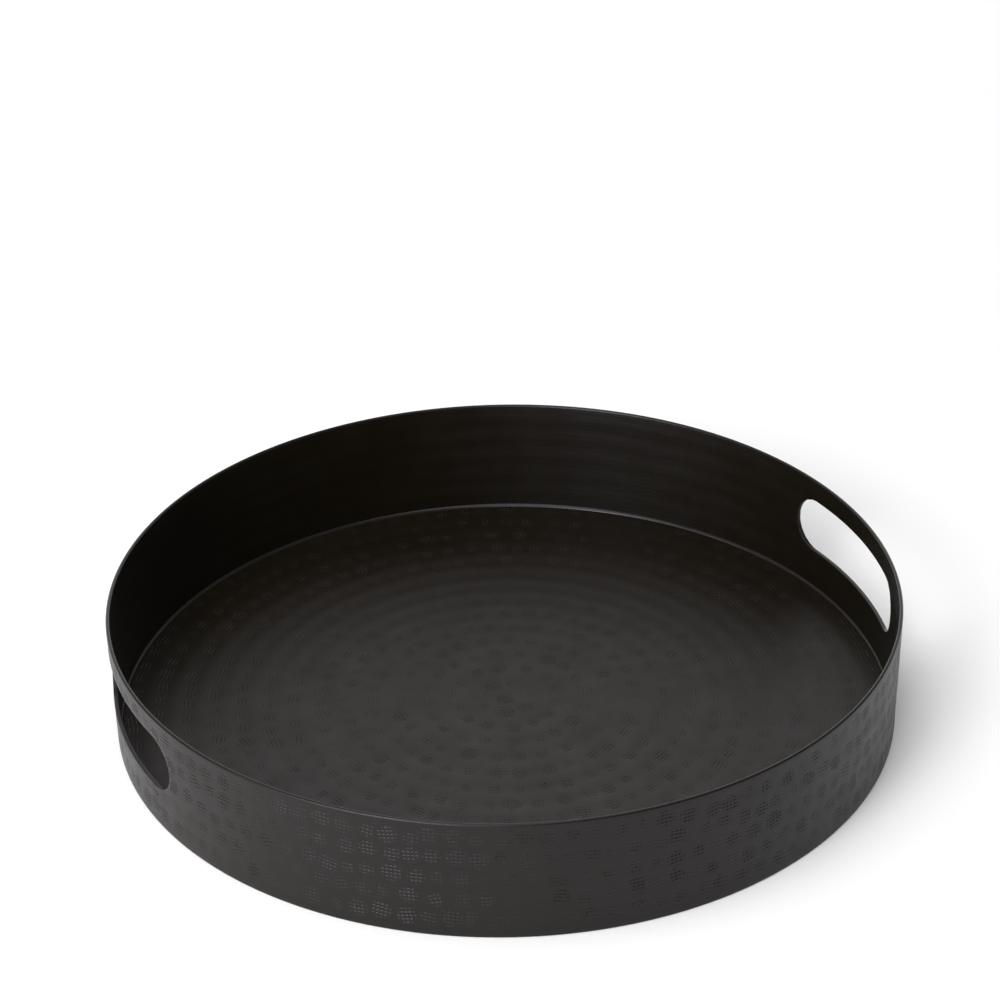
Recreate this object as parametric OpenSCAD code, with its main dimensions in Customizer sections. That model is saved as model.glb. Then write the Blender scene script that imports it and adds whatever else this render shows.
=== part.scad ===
// Round serving tray with two hand slots, fabricated from sheet steel: a rolled wall band, a flat
// base disc set inside it, the weld bead in the inner corner and the butt weld that closes the band.
// Millimetres, +Z up. The origin is the centre of the underside, and the hand slots lie on +X and -X.

/* [Tray] */
// Outer diameter of the wall at the rim
rim_d = 380; // [320:5:460]
// Overall height from the surface it stands on to the rim
height = 61.5; // [56:0.5:90]
// How far the wall leans outwards between its foot and the rim
wall_lean = 1.4; // [0:0.1:6]

/* [Sheet] */
// Thickness of the wall strip
wall_t = 2.0; // [2:0.1:2.5]
// Thickness of the base disc
base_t = 1.0; // [1:0.1:2.5]
// Radius of the dressed edges at the rim and the foot
edge_r = 0.95; // [0.2:0.05:0.95]

/* [Hand slots] */
// Length of a slot along the outside of the wall, end to end
slot_len = 109; // [80:1:130]
// Height of a slot, which is also the diameter of its round ends
slot_h = 28.5; // [22:0.5:34]
// Distance from the rim down to the middle of the slots
slot_drop = 25.2; // [22:0.1:30]

/* [Welds] */
// Leg of the bead between the wall and the base
bead_leg = 1.3; // [0.8:0.1:3]
// Half the angle through which the bead's face turns, larger for a fuller bead
bead_crown = 15; // [5:1:40]
// Width of the vertical butt weld where the wall strip's ends meet
seam_w = 1.6; // [1:0.1:3]

/* [Hidden] */
$fn = 240;
corner_steps = 5;                // straight steps in each dressed edge
bead_steps = 6;                  // straight steps across the rounded face of the bead
coat = "#2b2829";                // satin black baked coating
slot_z = height - slot_drop;
slot_mid_r = outer_r(slot_z);     // slots are measured along the outer face
// Angle between the middle of a slot and the centre of each of its round ends
slot_end_angle = (slot_len - slot_h) / 2 / slot_mid_r * 180 / PI;
// Half the angle that the butt weld takes up at the back of the wall
seam_half_angle = seam_w / rim_d * 180 / PI;
seam_at = 90;                    // the butt weld is at +Y, a quarter turn from both slots
cut = 10;                        // how far a cutter runs past each face

// Radii of the wall's two faces at height z
function outer_r(z) = rim_d / 2 - wall_lean * (1 - z / height);
function inner_r(z) = outer_r(z) - wall_t;

// Points of an arc about c, from angle a to angle b
function arc(c, r, a, b, steps) =
    [for (i = [0:steps]) c + r * [cos(a + (b - a) * i / steps), sin(a + (b - a) * i / steps)]];

// Section of the wall strip, with its foot and rim edges dressed
module wall_section() {
    foot = [outer_r(edge_r) - edge_r, edge_r];
    rim_z = height - edge_r;
    rim_out = [outer_r(rim_z) - edge_r, rim_z];
    rim_in = [inner_r(rim_z) + edge_r, rim_z];
    polygon(concat(
        [[inner_r(0), 0]],
        arc(foot, edge_r, -90, 0, corner_steps),
        arc(rim_out, edge_r, 0, 90, corner_steps),
        arc(rim_in, edge_r, 90, 180, corner_steps)
    ));
}

// Hand slot on +X: a slot with round ends, punched square through the strip before it is rolled
module slot_cutter() {
    depth = wall_t + 2 * cut;
    start_r = slot_mid_r - depth / 2;
    rotate([0, 0, -slot_end_angle])
        rotate_extrude(angle = 2 * slot_end_angle)
            translate([start_r, slot_z - slot_h / 2])
                square([depth, slot_h]);
    for (side = [-1, 1])
        rotate([0, 0, side * slot_end_angle])
            translate([start_r, 0, slot_z])
                rotate([0, 90, 0])
                    cylinder(h = depth, d = slot_h);
}

// Strip rolled into a ring, open by the width of the butt weld
module wall_band() {
    color(coat)
        difference() {
            rotate([0, 0, seam_at + seam_half_angle])
                rotate_extrude(angle = 360 - 2 * seam_half_angle)
                    wall_section();
            for (turn = [0, 180])
                rotate([0, 0, turn])
                    slot_cutter();
        }
}

// Flat disc that sits inside the wall, flush with its foot
module base_disc() {
    color(coat)
        cylinder(h = base_t, r1 = inner_r(0), r2 = inner_r(base_t));
}

// Rounded bead that joins the wall to the disc all the way round
module base_weld_bead() {
    toe = [inner_r(base_t) - bead_leg, base_t];
    top = [inner_r(base_t + bead_leg), base_t + bead_leg];
    chord = top - toe;
    face_r = norm(chord) / 2 / sin(bead_crown);
    // The face is an arc about a point below and outside the middle of the chord
    facing = atan2(chord[1], chord[0]) + 90;
    centre = (toe + top) / 2 - face_r * cos(bead_crown) * [cos(facing), sin(facing)];
    color(coat)
        rotate_extrude()
            polygon(concat(
                [[inner_r(base_t), base_t]],
                arc(centre, face_r, facing - bead_crown, facing + bead_crown, bead_steps)
            ));
}

// Butt weld between the strip's two ends, ground flush with both faces
module wall_seam_weld() {
    color(coat)
        rotate([0, 0, seam_at - seam_half_angle])
            rotate_extrude(angle = 2 * seam_half_angle)
                wall_section();
}

wall_band();
base_disc();
base_weld_bead();
wall_seam_weld();
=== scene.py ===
"""Round hammered serving tray with two hand slots, satin black, on a pale studio floor.

The two sheets are modelled as they are made. A waffle-faced hammer leaves rows of shallow square
dishes on the outside of the wall and rings of them on the upper side of the base, each dish with a
grid of small roof-shaped pits. Every sheet face is a plane of points (along the wall and up it, or across
the base) that is triangulated once and then bent into place, so the marks are real geometry.
"""
import math
import random

import bpy
from mathutils import Matrix, Vector, kdtree, noise
from mathutils.geometry import delaunay_2d_cdt


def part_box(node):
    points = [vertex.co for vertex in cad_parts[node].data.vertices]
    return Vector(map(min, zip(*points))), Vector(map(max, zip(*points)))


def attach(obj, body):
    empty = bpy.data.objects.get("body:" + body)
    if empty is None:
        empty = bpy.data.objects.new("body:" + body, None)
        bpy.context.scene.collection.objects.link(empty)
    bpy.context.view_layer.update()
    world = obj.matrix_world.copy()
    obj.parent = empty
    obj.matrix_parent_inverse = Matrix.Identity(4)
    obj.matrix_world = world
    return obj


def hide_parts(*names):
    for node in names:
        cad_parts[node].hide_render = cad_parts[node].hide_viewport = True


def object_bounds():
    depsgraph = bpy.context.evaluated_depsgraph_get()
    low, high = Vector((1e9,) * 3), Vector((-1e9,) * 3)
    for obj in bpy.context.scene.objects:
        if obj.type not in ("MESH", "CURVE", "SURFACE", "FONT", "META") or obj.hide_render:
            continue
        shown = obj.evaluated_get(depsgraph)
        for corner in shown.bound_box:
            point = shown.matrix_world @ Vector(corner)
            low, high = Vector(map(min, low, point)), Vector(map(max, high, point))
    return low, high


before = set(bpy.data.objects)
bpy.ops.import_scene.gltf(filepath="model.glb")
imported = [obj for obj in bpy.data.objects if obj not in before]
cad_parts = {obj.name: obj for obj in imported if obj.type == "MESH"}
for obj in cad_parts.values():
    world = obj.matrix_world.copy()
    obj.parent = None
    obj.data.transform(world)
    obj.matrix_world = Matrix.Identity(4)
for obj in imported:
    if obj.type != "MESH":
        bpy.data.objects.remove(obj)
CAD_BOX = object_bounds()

MM = 0.001

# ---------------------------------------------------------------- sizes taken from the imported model
LOW, HIGH = CAD_BOX
RIM_R = (HIGH.x - LOW.x) / 2
HEIGHT = HIGH.z
BASE_LOW, BASE_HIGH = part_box("base_disc")
BASE_T = BASE_HIGH.z
BASE_R = (BASE_HIGH.x - BASE_LOW.x) / 2
BEAD_CROWN = 15              # degrees, half the turn of the bead's face
BEAD_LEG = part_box("base_weld_bead")[1].z - BASE_T
SEAM_LOW, SEAM_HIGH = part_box("wall_seam_weld")
SEAM_W = SEAM_HIGH.x - SEAM_LOW.x

# ---------------------------------------------------------------- sizes that the boxes don't give
SHEET = 2.0 * MM             # the wall's gauge; the base's comes from its box
EDGE_R = 0.95 * MM           # dressed edges at the rim and the foot
EDGE_STEPS = 6               # faces across each rounded corner of the rim and the foot
SLOT_LENGTH = 109 * MM
SLOT_HEIGHT = 28.5 * MM
SLOT_DROP = 25.2 * MM        # rim to the middle of a slot
SLOT_EDGE_R = 0.3 * MM
SLOT_EDGE_STEPS = 3

# ---------------------------------------------------------------- hammer marks
WALL_ROWS = 5
WALL_FIRST_ROW = 7.8 * MM    # below the rim
WALL_ROW_STEP = 11.0 * MM
WALL_BLOW_STEP = 10.4 * MM   # along a row
BASE_OUTER_RING = 181.5 * MM
BASE_RING_STEP = 12.95 * MM
BASE_RINGS = 14
BASE_BLOW_STEP = 12.0 * MM   # along a ring
HAMMER_PITS = 5              # pits along each side of the hammer's face
PIT_PITCH = 1.9 * MM
PIT_MOUTH = 0.74 * MM, 0.48 * MM     # half the sides of a pit's mouth
PIT_RIDGE = 0.46 * MM        # half the length of the line at its bottom
PIT_CLEAR = 1.88 * MM        # pits of two blows are never nearer than this
PIT_UNEVEN = 0.75, 1.15      # each pit's depth is multiplied by a random number from this range
FAINTEST_PIT = 0.25          # pits of less than this share of the full depth are left out
DISH_HALF = 4.6 * MM         # half the side of a dish
DISH_FLAT = 0.55             # share of that half that is flat
DISH_FADE = 0.85             # and the share over which the dish then fades out
WALL_PIT_DEPTH = 0.25 * MM
WALL_PIT_SPREAD = 1.1, 1.55  # larger when more of the hammer's face bites
WALL_DISH_DEPTH = 0.07 * MM
WALL_STRAY = 0.5 * MM        # how far blows miss their places
BASE_PIT_DEPTH = 0.19 * MM
BASE_PIT_SPREAD = 0.85, 1.4
BASE_DISH_DEPTH = 0.08 * MM
BASE_STRAY = 0.3 * MM
CENTRE_STRAY = 0.5 * MM      # of the single blow in the middle of the base
BASE_GROOVE_DEPTH = 0.11 * MM    # the blows of one ring merge into a groove
BLOW_TWIST = 7               # degrees
BLOW_FORCE = 0.5, 1.1        # 1 is a blow of the full depth
BLOW_TILT = 0, 0.7
ROW_SPACING = 0.86, 1.14     # steps along a row are multiplied by a number from this range
RING_SPACING = 0.13          # blows in a ring miss their places by up to this share of a step
RIDGE = 0.14 * MM            # a row of blows stands proud on the far side by this
BULGE = 0.05 * MM            # and each blow by this on top of it
BULGE_REACH = 0.62 * WALL_BLOW_STEP
SEAM_CLEAR = 8 * MM          # the ridges fade out this near to the butt weld

# ---------------------------------------------------------------- how finely the faces are divided
BORDER_STEP = 2 * MM         # along the wall strip
BORDER_ROWS = 30             # up the wall strip's ends
WALL_FILL = 2.2 * MM         # the loose net between the pits
WALL_INSIDE_ROW = 2 * MM
BASE_FILL = 2.4 * MM
UNDERSIDE_FILL = 12 * MM
BASE_BORDER = 560            # points round the base
FILL_JITTER = 0.15           # of the net's step
FILL_MARGIN = 0.45           # of the net's step, kept free along every edge
FILL_CLEAR = 1.5 * MM        # between the net's points and the middles of pits
EDGE_CLEAR = 0.8 * MM        # between any point and the border of a plain face
SHARP_ANGLE = 40             # degrees, between faces that don't shade as one

# ---------------------------------------------------------------- camera, as a photographer sets it
VIEW_AZIMUTH = -19.6         # degrees round from -Y, towards -X
VIEW_PITCH = 30.0
VIEW_ROLL = -1.06
VIEW_DISTANCE = 8.404        # in rim radii, from the aim point
VIEW_AIM = (-0.0056, 0.463)  # in rim radii, right of and beyond the middle of the rim
LENS = 114.34                # mm, on the sensor's width below
SENSOR = 36

# ---------------------------------------------------------------- light
WORLD = 0.35
LIGHT_DISTANCE = 2.0
# Softboxes: azimuth (0 behind the camera, 90 to its right), elevation, size in metres, radiance
LIGHTS = {
    "spot": (-33, 36, (0.6, 0.5), 10.9),
    "key": (-25, 28, (1.6, 0.9), 1.9),
    "key_low": (-34, 8, (1.6, 0.4), 11),
    "key_left": (-68, 32, (0.9, 1.0), 1.6),
    "high_front": (-30, 58, (1.6, 1.0), 2.6),
    "high_right": (55, 55, (1.5, 1.2), 0.05),
    "top": (0, 88, (1.1, 1.1), 1.9),
    "left": (-106, 42, (1.5, 1.1), 0.46),
    "back": (180, 38, (1.9, 1.3), 0.88),
    "back_low": (180, 10, (1.6, 0.6), 1.3),
    "back_left": (-146, 13, (1.5, 0.9), 1.22),
    "back_right": (144, 12, (1.7, 0.8), 0.6),
}
FLOOR_HALF = 6.0
FLOOR_COLOUR = 0.93, 0.93, 0.93, 1

# ---------------------------------------------------------------- coats
COAT_SPECULAR = 0.31
GLOSS_VARIES = 0.04          # roughness goes up and down by this
CLOUDS = 35, 4               # scale and detail of the noise behind the changes of colour
GLOSS_CLOUDS = 60, 3         # the same for the changes of gloss
PEEL = 900, 2                # orange peel of the coat
PEEL_HEIGHT = 0.05 * MM
PEEL_STRENGTH = 0.12
GRAIN = 4200, 2              # and its finest grain
GRAIN_HEIGHT = 0.02 * MM
GRAIN_STRENGTH = 0.10
STREAK_SQUEEZE = 1, 1, 24    # noise squeezed along Z becomes streaks round the wall
STREAKS = 40, 3
STREAK_HEIGHT = 0.1 * MM

random.seed(11)


# ================================================================ camera and stage
def make_camera():
    """A long lens looking down at the tray. The aim point lies behind the tray's middle."""
    turn = Matrix.Rotation(math.radians(VIEW_AZIMUTH), 3, "Z")
    aim = turn @ Vector((VIEW_AIM[0] * RIM_R, VIEW_AIM[1] * RIM_R, 0)) + Vector((0, 0, HEIGHT))
    pitch = math.radians(VIEW_PITCH)
    forward = turn @ Vector((0, math.cos(pitch), -math.sin(pitch)))
    data = bpy.data.cameras.new("camera")
    data.lens = LENS
    data.sensor_width = SENSOR
    data.clip_start = 0.05
    data.clip_end = 50
    camera = bpy.data.objects.new("camera", data)
    bpy.context.scene.collection.objects.link(camera)
    camera.location = aim - forward * VIEW_DISTANCE * RIM_R
    level = forward.to_track_quat("-Z", "Y")
    roll = Matrix.Rotation(math.radians(VIEW_ROLL), 3, "Z").to_quaternion()
    camera.rotation_mode = "QUATERNION"
    camera.rotation_quaternion = level @ roll
    bpy.context.scene.camera = camera


def make_softbox(name, azimuth, elevation, size, radiance):
    """A soft light aimed at the middle of the tray."""
    data = bpy.data.lights.new(name, "AREA")
    data.shape = "RECTANGLE"
    data.size, data.size_y = size
    data.energy = radiance * math.pi * size[0] * size[1]
    light = bpy.data.objects.new(name, data)
    bpy.context.scene.collection.objects.link(light)
    a = math.radians(azimuth + VIEW_AZIMUTH)
    e = math.radians(elevation)
    towards = Vector((math.sin(a) * math.cos(e), -math.cos(a) * math.cos(e), math.sin(e)))
    light.location = towards * LIGHT_DISTANCE
    light.rotation_mode = "QUATERNION"
    light.rotation_quaternion = towards.to_track_quat("Z", "Y")
    light.visible_camera = False


def make_world():
    world = bpy.data.worlds.new("studio")
    bpy.context.scene.world = world
    world.use_nodes = True
    background = world.node_tree.nodes["Background"]
    background.inputs["Color"].default_value = (1, 1, 1, 1)
    background.inputs["Strength"].default_value = WORLD


def make_floor():
    half = FLOOR_HALF
    mesh = bpy.data.meshes.new("studio_floor")
    corners = [(-half, -half, 0), (half, -half, 0), (half, half, 0), (-half, half, 0)]
    mesh.from_pydata(corners, [], [(0, 1, 2, 3)])
    floor = bpy.data.objects.new("studio_floor", mesh)
    bpy.context.scene.collection.objects.link(floor)
    material, shader = new_material("studio_floor")
    shader.inputs["Base Color"].default_value = FLOOR_COLOUR
    shader.inputs["Roughness"].default_value = 0.9
    shader.inputs["Specular IOR Level"].default_value = 0.2
    mesh.materials.append(material)


# ================================================================ materials
def new_material(name):
    material = bpy.data.materials.new(name)
    material.use_nodes = True
    return material, material.node_tree.nodes["Principled BSDF"]


def make_coat(name, tint, dark, light, roughness, seed, streaks=0.0, rim_roughness=None):
    """Satin black baked coating: fine orange peel, and faint cloudy changes of colour and gloss.
    tint colours its reflections, and dark and light are the two ends of its own colour.
    streaks is the strength of the fine rolling marks that run round the wall under the coat.
    rim_roughness is for the dressed rim, where the metal under the coat is smooth."""
    material, shader = new_material(name)
    shader.inputs["Specular IOR Level"].default_value = COAT_SPECULAR
    shader.inputs["Specular Tint"].default_value = (*tint, 1)
    nodes, links = material.node_tree.nodes, material.node_tree.links
    place = nodes.new("ShaderNodeTexCoord")

    def noise_at(scale, detail):
        texture = nodes.new("ShaderNodeTexNoise")
        texture.noise_dimensions = "4D"
        texture.inputs["W"].default_value = seed
        texture.inputs["Scale"].default_value = scale
        texture.inputs["Detail"].default_value = detail
        links.new(place.outputs["Object"], texture.inputs["Vector"])
        return texture.outputs["Fac"]

    def spread(value, low, high):
        """Stretches the middle of a noise, where nearly all of it lies, over low to high."""
        span = nodes.new("ShaderNodeMapRange")
        span.inputs["From Min"].default_value = 0.3
        span.inputs["From Max"].default_value = 0.7
        span.inputs["To Min"].default_value = low
        span.inputs["To Max"].default_value = high
        links.new(value, span.inputs["Value"])
        return span.outputs["Result"]

    mix = nodes.new("ShaderNodeMix")
    mix.data_type = "RGBA"
    mix.inputs["A"].default_value = (*dark, 1)
    mix.inputs["B"].default_value = (*light, 1)
    links.new(spread(noise_at(*CLOUDS), 0, 1), mix.inputs["Factor"])
    links.new(mix.outputs["Result"], shader.inputs["Base Color"])
    gloss = spread(noise_at(*GLOSS_CLOUDS), roughness - GLOSS_VARIES, roughness + GLOSS_VARIES)
    if rim_roughness:
        # from the wall's roughness to the rim's, round the height where the rounded edge begins
        split = nodes.new("ShaderNodeSeparateXYZ")
        links.new(place.outputs["Object"], split.inputs["Vector"])
        dressed = nodes.new("ShaderNodeMapRange")
        dressed.inputs["From Min"].default_value = HEIGHT - 1.1 * EDGE_R
        dressed.inputs["From Max"].default_value = HEIGHT - 0.8 * EDGE_R
        dressed.inputs["To Max"].default_value = rim_roughness
        links.new(split.outputs["Z"], dressed.inputs["Value"])
        links.new(gloss, dressed.inputs["To Min"])
        gloss = dressed.outputs["Result"]
    links.new(gloss, shader.inputs["Roughness"])

    def bump(height, strength, distance, under=None):
        """A bump from a noise, laid over the bump under it, and returned as a normal."""
        node = nodes.new("ShaderNodeBump")
        node.inputs["Strength"].default_value = strength
        node.inputs["Distance"].default_value = distance
        links.new(height, node.inputs["Height"])
        if under:
            links.new(under, node.inputs["Normal"])
        return node.outputs["Normal"]

    normal = bump(noise_at(*PEEL), PEEL_STRENGTH, PEEL_HEIGHT)
    normal = bump(noise_at(*GRAIN), GRAIN_STRENGTH, GRAIN_HEIGHT, normal)
    if streaks:
        squeeze = nodes.new("ShaderNodeVectorMath")
        squeeze.operation = "MULTIPLY"
        squeeze.inputs[1].default_value = STREAK_SQUEEZE
        links.new(place.outputs["Object"], squeeze.inputs[0])
        lines = nodes.new("ShaderNodeTexNoise")
        lines.inputs["Scale"].default_value, lines.inputs["Detail"].default_value = STREAKS
        links.new(squeeze.outputs["Vector"], lines.inputs["Vector"])
        normal = bump(lines.outputs["Fac"], streaks, STREAK_HEIGHT, normal)
    links.new(normal, shader.inputs["Normal"])
    return material


# ================================================================ hammer blows
class Blow:
    """One stroke of the waffle hammer, in the plane of the sheet."""

    def __init__(self, x, y, turn, pit_depth, spread, dish_depth, stray):
        self.pit_depth = pit_depth
        self.spread = random.uniform(*spread)
        self.dish_depth = dish_depth
        self.x = x + random.gauss(0, stray)
        self.y = y + random.gauss(0, stray)
        self.turn = turn + math.radians(random.gauss(0, BLOW_TWIST))
        self.force = random.uniform(*BLOW_FORCE)
        self.tilt = random.uniform(*BLOW_TILT)
        self.tilt_towards = random.uniform(0, 2 * math.pi)

    def local(self, x, y):
        """(u, v) of a point in the hammer's own axes."""
        dx, dy = x - self.x, y - self.y
        c, s = math.cos(self.turn), math.sin(self.turn)
        return dx * c + dy * s, dy * c - dx * s

    def place(self, u, v):
        """Back from the hammer's axes to the sheet's."""
        c, s = math.cos(self.turn), math.sin(self.turn)
        return self.x + u * c - v * s, self.y + u * s + v * c

    def pits(self):
        """Yields (x, y, depth). The hammer's face is slightly domed and never quite square on."""
        middle = (HAMMER_PITS - 1) / 2
        reach = self.spread * middle * PIT_PITCH
        for i in range(HAMMER_PITS):
            for j in range(HAMMER_PITS):
                u, v = (i - middle) * PIT_PITCH, (j - middle) * PIT_PITCH
                away = math.hypot(u, v) / reach
                lean = self.tilt * math.cos(math.atan2(v, u) - self.tilt_towards) * away
                share = self.force * (1 - away ** 4 + lean) * random.uniform(*PIT_UNEVEN)
                if share > FAINTEST_PIT:
                    yield (*self.place(u, v), self.pit_depth * min(share, 1.0))

    def dish(self, x, y):
        """Depth of the shallow dish round the pits: flat in the middle, fading to nothing at the ridges."""
        u, v = self.local(x, y)
        q = ((abs(u) / DISH_HALF) ** 3 + (abs(v) / DISH_HALF) ** 3) ** (1 / 3)
        t = min(max((q - DISH_FLAT) / DISH_FADE, 0), 1)
        return self.dish_depth * self.force * (1 - t * t * (3 - 2 * t))


def dish_depth(tree, blows, x, y):
    """The deepest of the nearest dishes: neighbouring blows share a ridge and don't add up."""
    return max(blows[i].dish(x, y) for _, i, _ in tree.find_n((x, y, 0), 4))


def tree_of(blows):
    tree = kdtree.KDTree(len(blows))
    for i, blow in enumerate(blows):
        tree.insert((blow.x, blow.y, 0), i)
    tree.balance()
    return tree


class Spots:
    """Remembers where points are, so that new ones can keep their distance."""

    def __init__(self, cell):
        self.cell = cell
        self.cells = {}

    def near(self, x, y, reach, owner=None):
        i, j = math.floor(x / self.cell), math.floor(y / self.cell)
        for a in (i - 1, i, i + 1):
            for b in (j - 1, j, j + 1):
                for px, py, whose in self.cells.get((a, b), ()):
                    if whose is not owner and (px - x) ** 2 + (py - y) ** 2 < reach * reach:
                        return True
        return False

    def add(self, x, y, owner):
        key = math.floor(x / self.cell), math.floor(y / self.cell)
        self.cells.setdefault(key, []).append((x, y, owner))


def hammered_points(blows, inside, background, fill_step):
    """Points (x, y, depth) of a hammered face: six to a pit, the two at its bottom first, and a loose net
    of others between the pits. Also returns where in the list each pit starts."""
    tree = tree_of(blows)
    spots = Spots(PIT_CLEAR)
    points, pits = [], []
    for blow in blows:
        c, s = math.cos(blow.turn), math.sin(blow.turn)
        for x, y, depth in blow.pits():
            if not inside(x, y, 2 * PIT_MOUTH[0]) or spots.near(x, y, PIT_CLEAR, blow):
                continue
            spots.add(x, y, blow)
            dish = dish_depth(tree, blows, x, y)
            pits.append(len(points))
            for u in (-PIT_RIDGE, PIT_RIDGE):
                points.append((x + u * c, y + u * s, dish + depth))
            for i, j in ((1, 1), (-1, 1), (-1, -1), (1, -1)):
                u, v = i * PIT_MOUTH[0], j * PIT_MOUTH[1]
                points.append((x + u * c - v * s, y + u * s + v * c, dish))
    for x, y in background:
        x += random.uniform(-FILL_JITTER, FILL_JITTER) * fill_step
        y += random.uniform(-FILL_JITTER, FILL_JITTER) * fill_step
        if inside(x, y, FILL_MARGIN * fill_step) and not spots.near(x, y, FILL_CLEAR):
            points.append((x, y, dish_depth(tree, blows, x, y)))
    return points, pits


# ================================================================ sheet faces
class Builder:
    """Collects the vertices and faces of one piece."""

    def __init__(self):
        self.verts = []
        self.faces = []
        self.bottoms = set()     # vertices at the bottoms of pits: the faces that meet there are flat

    def add(self, point):
        self.verts.append(point)
        return len(self.verts) - 1

    def bridge(self, a, b, closed=True):
        """Joins two rows of vertices with quads."""
        n = len(a)
        for i in range(n if closed else n - 1):
            j = (i + 1) % n
            self.faces.append((a[i], a[j], b[j], b[i]))

    def face(self, points, loops, keep, place, pits=(), flip=False):
        """Triangulates a plane face. The first loop is a list of (x, y) round the sheet, and the others go
        round its holes. keep(x, y) says whether a triangle with its middle there is in the sheet.
        Returns the vertex numbers of each loop, in order."""
        flat = [Vector((x, y)) for x, y, _ in points]
        depth = [d for _, _, d in points]
        edges, loop_ids = [], []
        for first in pits:
            edges += [(first + 2 + k, first + 2 + (k + 1) % 4) for k in range(4)]
        for loop in loops:
            first = len(flat)
            flat += [Vector((x, y)) for x, y, *_ in loop]
            depth += [p[2] if len(p) > 2 else 0.0 for p in loop]
            n = len(loop)
            edges += [(first + i, first + (i + 1) % n) for i in range(n)]
            loop_ids.append(range(first, first + n))
        scale = 1 / MM
        where, _, triangles, origins, *_ = delaunay_2d_cdt([p * scale for p in flat], edges, [], 0, 1e-6)
        number, back = {}, {}
        for i, (p, source) in enumerate(zip(where, origins)):
            d = depth[source[0]] if source else 0.0
            number[i] = self.add(place(p.x / scale, p.y / scale, d))
            for s in source:
                back[s] = number[i]
        self.bottoms.update(back[first + k] for first in pits for k in (0, 1))
        for t in triangles:
            x = sum(where[i].x for i in t) / len(t) / scale
            y = sum(where[i].y for i in t) / len(t) / scale
            if keep(x, y):
                ids = [number[i] for i in t]
                self.faces.append(tuple(reversed(ids)) if flip else tuple(ids))
        return [[back[i] for i in ids] for ids in loop_ids]

    def finish(self, name, material, replaces):
        used = sorted({i for f in self.faces for i in f})
        renumber = {old: new for new, old in enumerate(used)}
        mesh = bpy.data.meshes.new(name)
        faces = [tuple(renumber[i] for i in f) for f in self.faces]
        mesh.from_pydata([self.verts[i] for i in used], [], faces)
        mesh.set_sharp_from_angle(angle=math.radians(SHARP_ANGLE))
        smooth = [self.bottoms.isdisjoint(f) for f in self.faces]
        mesh.polygons.foreach_set("use_smooth", smooth)
        mesh.materials.append(material)
        piece = bpy.data.objects.new(name, mesh)
        bpy.context.scene.collection.objects.link(piece)
        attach(piece, "root")
        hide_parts(replaces)


# ================================================================ the wall
FOOT_OUTER_R = BASE_R + SHEET    # at the height of the base's upper face
WALL_LEAN = (RIM_R - FOOT_OUTER_R) / (HEIGHT - BASE_T)
MEAN_R = (RIM_R + FOOT_OUTER_R) / 2
SEAM_HALF_ANGLE = math.asin(SEAM_W / 2 / RIM_R)
SEAM_ANGLE = math.pi / 2
STRIP_LENGTH = MEAN_R * 2 * (math.pi - SEAM_HALF_ANGLE)


def outer_r(z):
    return RIM_R - WALL_LEAN * (HEIGHT - z)


def wall_point(s, z, depth):
    """Bends the strip into the wall: s runs along it from the seam, depth goes inwards from its face."""
    angle = SEAM_ANGLE + SEAM_HALF_ANGLE + s / MEAN_R
    r = outer_r(z) - depth
    return r * math.cos(angle), r * math.sin(angle), z


def slot_middle(side):
    """(s, z) of a slot's middle: side 0 is the slot on -X, side 1 the one on +X."""
    return MEAN_R * (math.pi / 2 + side * math.pi - SEAM_HALF_ANGLE), HEIGHT - SLOT_DROP


def slot_distance(s, z):
    """Distance outside the nearer slot's edge, negative inside it."""
    half = (SLOT_LENGTH - SLOT_HEIGHT) / 2
    gaps = []
    for side in (0, 1):
        cs, cz = slot_middle(side)
        gaps.append(math.hypot(max(abs(s - cs) - half, 0), z - cz) - SLOT_HEIGHT / 2)
    return min(gaps)


def slot_loop(side, grow):
    """Points round a slot's edge, moved out into the sheet by grow."""
    cs, cz = slot_middle(side)
    half, r = (SLOT_LENGTH - SLOT_HEIGHT) / 2, SLOT_HEIGHT / 2 + grow
    end_steps, side_steps = 36, 40
    loop = []
    for i in range(end_steps):
        a = -math.pi / 2 + math.pi * i / end_steps
        loop.append((cs + half + r * math.cos(a), cz + r * math.sin(a)))
    loop += [(cs + half - 2 * half * i / side_steps, cz + r) for i in range(side_steps)]
    for i in range(end_steps):
        a = math.pi / 2 + math.pi * i / end_steps
        loop.append((cs - half + r * math.cos(a), cz + r * math.sin(a)))
    loop += [(cs - half + 2 * half * i / side_steps, cz - r) for i in range(side_steps)]
    return loop


def wall_blows():
    """Rows along the strip, with the blows of a row unevenly spaced."""
    blows = []
    for row in range(WALL_ROWS):
        z = HEIGHT - WALL_FIRST_ROW - row * WALL_ROW_STEP
        s = random.uniform(0.3, 1) * WALL_BLOW_STEP
        while s < STRIP_LENGTH:
            blows.append(Blow(s, z, 0, WALL_PIT_DEPTH, WALL_PIT_SPREAD, WALL_DISH_DEPTH, WALL_STRAY))
            s += WALL_BLOW_STEP * random.uniform(*ROW_SPACING)
    return blows


def net(x0, x1, y0, y1, step_x, step_y):
    """A staggered net of points over a rectangle."""
    rows = round((y1 - y0) / step_y)
    for j in range(1, rows):
        x = x0 + (0.5 + 0.5 * (j % 2)) * step_x
        while x < x1:
            yield x, y0 + (y1 - y0) * j / rows
            x += step_x


def roll_edge(builder, outer, inner, place_at, steps):
    """Rounds the two corners of a sheet's edge. place_at(i, side, turn) gives the point at vertex i,
    where side is 0 at the outer face and 1 at the inner, and turn goes from 0 on the face to 1."""
    rows = [outer]
    for side in (0, 1):
        turns = range(1, steps + 1) if side == 0 else range(steps, 0, -1)
        for k in turns:
            rows.append([builder.add(place_at(i, side, k / steps)) for i in range(len(outer))])
    rows.append(inner)
    return rows


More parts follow.
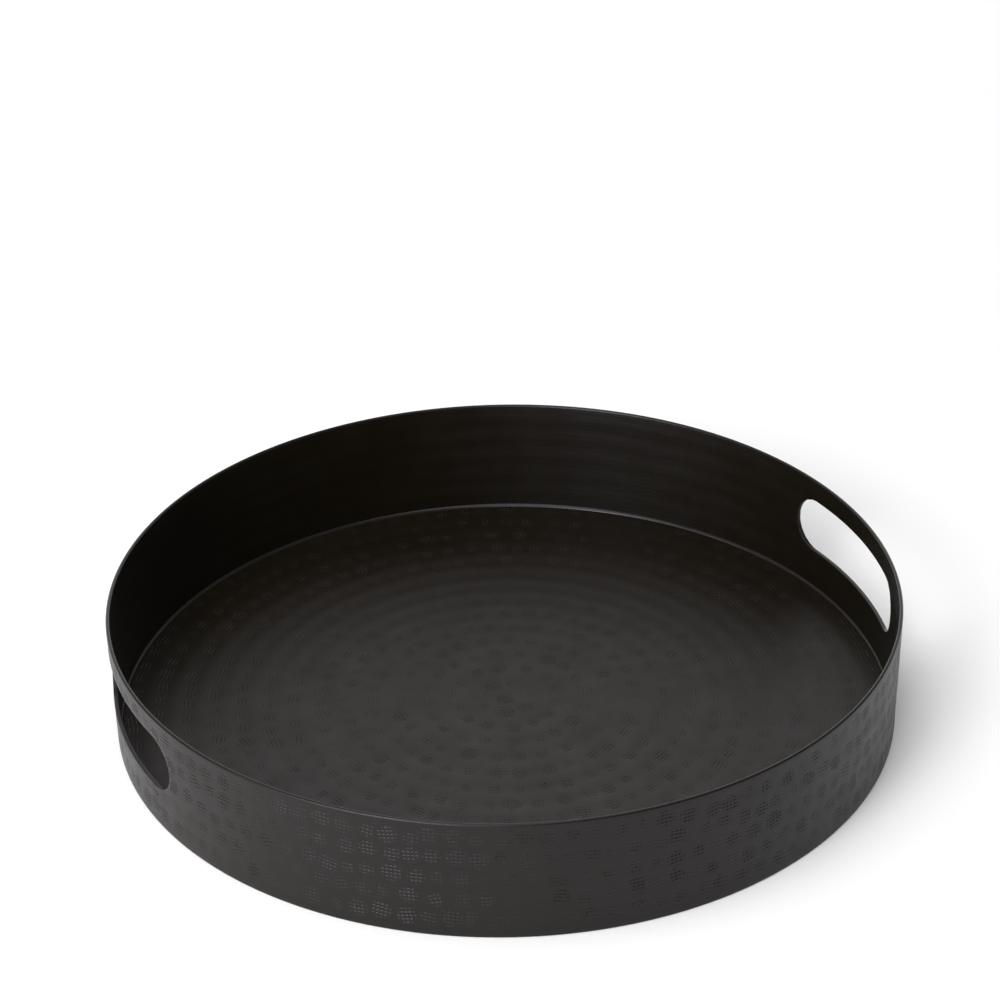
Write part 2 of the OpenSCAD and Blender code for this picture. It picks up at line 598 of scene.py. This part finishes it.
def edge_offsets(side, turn, radius):
    """How far out from the face's border, and how deep in the sheet, a rounded edge is at that turn."""
    a = turn * math.pi / 2
    sunk = radius * (1 - math.cos(a))
    return radius * math.sin(a), sunk if side == 0 else SHEET - sunk


def bulge(tree, s, z):
    """The rows of blows show faintly through the sheet on the inside, as long wavy ridges."""
    # noise makes the ridges waver up and down and come and go along the wall
    near, _, _ = tree.find((s, z, 0))
    t = min(math.hypot(near.x - s, near.y - z) / BULGE_REACH, 1)
    waver = 1.6 * MM * noise.noise((s * 22, z * 12, 3.1)) + 0.7 * MM * noise.noise((s * 90, z * 30, 5.7))
    row = (HEIGHT - WALL_FIRST_ROW - z + waver) / WALL_ROW_STEP
    strength = 0.75 + 0.8 * noise.noise((s * 35, z * 40, 8.3))
    ridge = max(0, RIDGE * strength * (0.5 + 0.5 * math.cos(2 * math.pi * row)))
    from_seam = min(s, STRIP_LENGTH - s) / SEAM_CLEAR
    return (ridge + BULGE * (1 - t * t) ** 2) * min(1, from_seam)


def make_wall(material):
    builder = Builder()
    low_z, high_z = EDGE_R, HEIGHT - EDGE_R
    along = round(STRIP_LENGTH / BORDER_STEP)
    # the strip's border, counter-clockwise as seen from outside
    foot = [(STRIP_LENGTH * i / along, low_z) for i in range(along + 1)]
    end = [(STRIP_LENGTH, low_z + (high_z - low_z) * i / BORDER_ROWS) for i in range(1, BORDER_ROWS)]
    rim = [(s, high_z) for s, _ in foot[::-1]]
    start = [(0.0, z) for _, z in end[::-1]]
    border = foot + end + rim + start

    def inside(s, z, margin):
        ends = margin < s < STRIP_LENGTH - margin and low_z + margin < z < high_z - margin
        return ends and slot_distance(s, z) > SLOT_EDGE_R + margin

    def keep(s, z):
        return slot_distance(s, z) > 0

    slots = [slot_loop(side, SLOT_EDGE_R) for side in (0, 1)]
    blows = wall_blows()
    background = net(0, STRIP_LENGTH, low_z, high_z, WALL_FILL, WALL_FILL)
    outside, pits = hammered_points(blows, inside, background, WALL_FILL)
    outer = builder.face(outside, [border, *slots], keep, wall_point, pits)

    tree = tree_of(blows)
    inner_net = net(0, STRIP_LENGTH, low_z, high_z, WALL_FILL, WALL_INSIDE_ROW)
    smooth = [(s, z, SHEET + bulge(tree, s, z)) for s, z in inner_net if inside(s, z, EDGE_CLEAR)]
    deep = [[(s, z, SHEET) for s, z in loop] for loop in (border, *slots)]
    inner = builder.face(smooth, deep, keep, wall_point, flip=True)

    def dress(first, count, border_z, sign):
        """Rounds the foot or the rim, and returns its vertices at its first and its last point, each
        from the outer face to the inner."""
        def place(i, side, turn):
            out, deep_in = edge_offsets(side, turn, EDGE_R)
            return wall_point(border[first + i][0], border_z + sign * out, deep_in)

        part = slice(first, first + count)
        rows = roll_edge(builder, outer[0][part], inner[0][part], place, EDGE_STEPS)
        for p, q in zip(rows, rows[1:]):
            builder.bridge(q, p, closed=False)
        return [row[0] for row in rows], [row[-1] for row in rows]

    foot_start, foot_end = dress(0, len(foot), low_z, -1)
    rim_end, rim_start = dress(len(foot) + len(end), len(rim), high_z, 1)
    # the strip's two cut ends, which face the butt weld
    up = slice(len(foot), len(foot) + len(end))
    down = slice(len(border) - len(start), len(border))
    builder.faces.append((*foot_end[::-1], *outer[0][up], *rim_end, *inner[0][up][::-1]))
    builder.faces.append((*outer[0][down], *foot_start, *inner[0][down][::-1], *rim_start))

    for side, out_loop, in_loop in zip((0, 1), outer[1:], inner[1:]):
        def place(i, face_side, turn, side=side):
            out, deep_in = edge_offsets(face_side, turn, SLOT_EDGE_R)
            s, z = slot_loop(side, SLOT_EDGE_R - out)[i]
            return wall_point(s, z, deep_in)

        rows = roll_edge(builder, out_loop, in_loop, place, SLOT_EDGE_STEPS)
        for p, q in zip(rows, rows[1:]):
            builder.bridge(p, q)
    builder.finish("hammered_wall", material, "wall_band")


# ================================================================ the base
def base_blows():
    """Rings on the base, and one blow in the middle."""
    hammer = BASE_PIT_DEPTH, BASE_PIT_SPREAD, BASE_DISH_DEPTH
    blows = []
    for ring in range(BASE_RINGS):
        r = BASE_OUTER_RING - ring * BASE_RING_STEP
        count = max(3, round(2 * math.pi * r / BASE_BLOW_STEP))
        start = random.uniform(0, 2 * math.pi)
        for i in range(count):
            a = start + 2 * math.pi * (i + random.uniform(-RING_SPACING, RING_SPACING)) / count
            blows.append(Blow(r * math.cos(a), r * math.sin(a), a + math.pi / 2, *hammer, BASE_STRAY))
    blows.append(Blow(0, 0, 0, *hammer, CENTRE_STRAY))
    return blows


def circle(r, count):
    turns = [2 * math.pi * i / count for i in range(count)]
    return [(r * math.cos(a), r * math.sin(a)) for a in turns]


def make_base(material):
    builder = Builder()
    foot_r = BASE_R - WALL_LEAN * BASE_T

    def inside(x, y, margin):
        return math.hypot(x, y) < BASE_R - max(margin, EDGE_CLEAR)

    def anywhere(x, y):
        return True

    def top(x, y, depth):
        r = math.hypot(x, y)
        ring = (BASE_OUTER_RING - r) / BASE_RING_STEP
        fade = min(1, max(0, (BASE_R - r) / BASE_RING_STEP))
        groove = BASE_GROOVE_DEPTH * fade * (0.5 + 0.5 * math.cos(2 * math.pi * ring))
        return x, y, BASE_T - depth - groove

    def under(x, y, depth):
        return x, y, 0.0

    def square_net(step):
        return net(-BASE_R, BASE_R, -BASE_R, BASE_R, step, step)

    points, pits = hammered_points(base_blows(), inside, square_net(BASE_FILL), BASE_FILL)
    upper = builder.face(points, [circle(BASE_R, BASE_BORDER)], anywhere, top, pits)
    plain = [(x, y, 0) for x, y in square_net(UNDERSIDE_FILL) if inside(x, y, UNDERSIDE_FILL / 2)]
    lower = builder.face(plain, [circle(foot_r, BASE_BORDER)], anywhere, under, flip=True)
    builder.bridge(lower[0], upper[0])
    builder.finish("hammered_base", material, "base_disc")


# ================================================================ the welds
BEAD_WANDER = 0.06           # the bead's leg varies by this share, and is never more than the CAD's
SEAM_RIPPLE = 0.02 * MM
SEAM_RIPPLE_STEP = 0.9 * MM  # per radian of the ripple


def make_bead(material):
    """Rounded bead in the corner between wall and base, dressed by hand, so its width wanders."""
    builder = Builder()
    around, steps = 720, 8
    crown = math.radians(BEAD_CROWN)
    rings = []
    for i in range(around):
        a = 2 * math.pi * i / around
        wander = noise.noise((math.cos(a) * 9, math.sin(a) * 9, 5.0)) + 0.5 * noise.noise((a * 40, 0, 1.0))
        leg = BEAD_LEG * (1 - BEAD_WANDER + BEAD_WANDER * max(-1, min(1, wander)))
        toe = Vector((BASE_R - leg, BASE_T))
        top = Vector((BASE_R + WALL_LEAN * leg, BASE_T + leg))
        chord = top - toe
        face_r = chord.length / 2 / math.sin(crown)
        facing = math.atan2(chord.y, chord.x) + math.pi / 2
        centre = (toe + top) / 2 - face_r * math.cos(crown) * Vector((math.cos(facing), math.sin(facing)))
        section = []
        for k in range(steps + 1):
            t = facing + crown * (1 - 2 * k / steps)
            section.append((centre.x + face_r * math.cos(t), centre.y + face_r * math.sin(t)))
        section.append((BASE_R, BASE_T))
        rings.append([builder.add((r * math.cos(a), r * math.sin(a), z)) for r, z in section])
    for i in range(around):
        builder.bridge(rings[(i + 1) % around], rings[i])
    builder.finish("corner_bead", material, "base_weld_bead")


def make_seam(material):
    """The closed joint of the strip: ground flush, with faint ripples left along it."""
    builder = Builder()
    across, up = 3, 60
    heights = [EDGE_R + (HEIGHT - 2 * EDGE_R) * k / up for k in range(up + 1)]
    turns = [k / EDGE_STEPS for k in range(1, EDGE_STEPS + 1)]
    # an edge's rounded section, from the outer face to the inner: how far out, and how deep
    rounded = [edge_offsets(0, turn, EDGE_R) for turn in turns]
    rounded += [edge_offsets(1, turn, EDGE_R) for turn in turns[::-1]]
    section = [(outer_r(z) - SEAM_RIPPLE * (1 + math.sin(z / SEAM_RIPPLE_STEP)), z) for z in heights]
    section += [(outer_r(HEIGHT) - deep_in, HEIGHT - EDGE_R + out) for out, deep_in in rounded]
    section += [(outer_r(z) - SHEET, z) for z in heights[::-1]]
    section += [(outer_r(0) - deep_in, EDGE_R - out) for out, deep_in in rounded[::-1]]
    columns = []
    for i in range(across + 1):
        angle = SEAM_ANGLE + SEAM_HALF_ANGLE * (2 * i / across - 1)
        columns.append([builder.add((r * math.cos(angle), r * math.sin(angle), z)) for r, z in section])
    for a, b in zip(columns, columns[1:]):
        builder.bridge(b, a)
    builder.faces.append(tuple(columns[0])[::-1])
    builder.faces.append(tuple(columns[-1]))
    builder.finish("seam_weld", material, "wall_seam_weld")


# ================================================================ the scene
def main():
    bpy.context.scene.view_settings.view_transform = "Standard"
    make_camera()
    make_floor()
    make_world()
    for name, light in LIGHTS.items():
        make_softbox(name, *light)
    wall_colours = (0.0040, 0.0026, 0.0004), (0.0050, 0.0036, 0.0009)
    base_colours = (0.0048, 0.0030, 0.0003), (0.0062, 0.0042, 0.0008)
    wall_coat = make_coat("wall_coat", (0.90, 0.87, 1.0), *wall_colours, roughness=0.41, seed=1.0,
                          streaks=0.8, rim_roughness=0.27)
    base_coat = make_coat("base_coat", (0.94, 0.90, 1.0), *base_colours, roughness=0.45, seed=2.0)
    weld_coat = make_coat("weld_coat", (0.94, 0.90, 1.0), *wall_colours, roughness=0.24, seed=3.0)
    make_wall(wall_coat)
    make_base(base_coat)
    make_bead(weld_coat)
    make_seam(wall_coat)


main()
